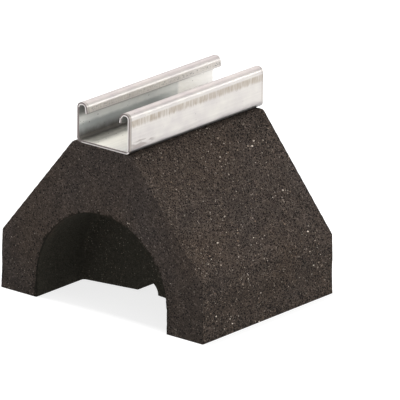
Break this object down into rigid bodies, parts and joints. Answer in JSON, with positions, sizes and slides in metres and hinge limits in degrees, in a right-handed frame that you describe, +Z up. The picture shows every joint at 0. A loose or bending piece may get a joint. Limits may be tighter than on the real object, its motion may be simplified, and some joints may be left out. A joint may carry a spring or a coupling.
{
  "type": "rooftop support block",
  "caption": "Moulded crumb-rubber rooftop support block with arched recesses and a short galvanised strut channel screwed along its crest.",
  "frame": {"origin": "centre of the overall footprint, on the surface that the block stands on", "axes": "+X across the block from foot to foot, +Y along the strut channel, +Z up out of the channel's slot"},
  "size_m": [0.16, 0.128, 0.1318],
  "materials": {
    "rubber": "matt bonded crumb rubber with pale flecks",
    "galvanised": "galvanised sheet with roller marks",
    "zinc_plate": "bright zinc plate"
  },
  "bodies": {
    "root": {"block": "rubber", "channel": "galvanised", "screws": "zinc_plate", "washers": "zinc_plate"}
  },
  "joints": []
}
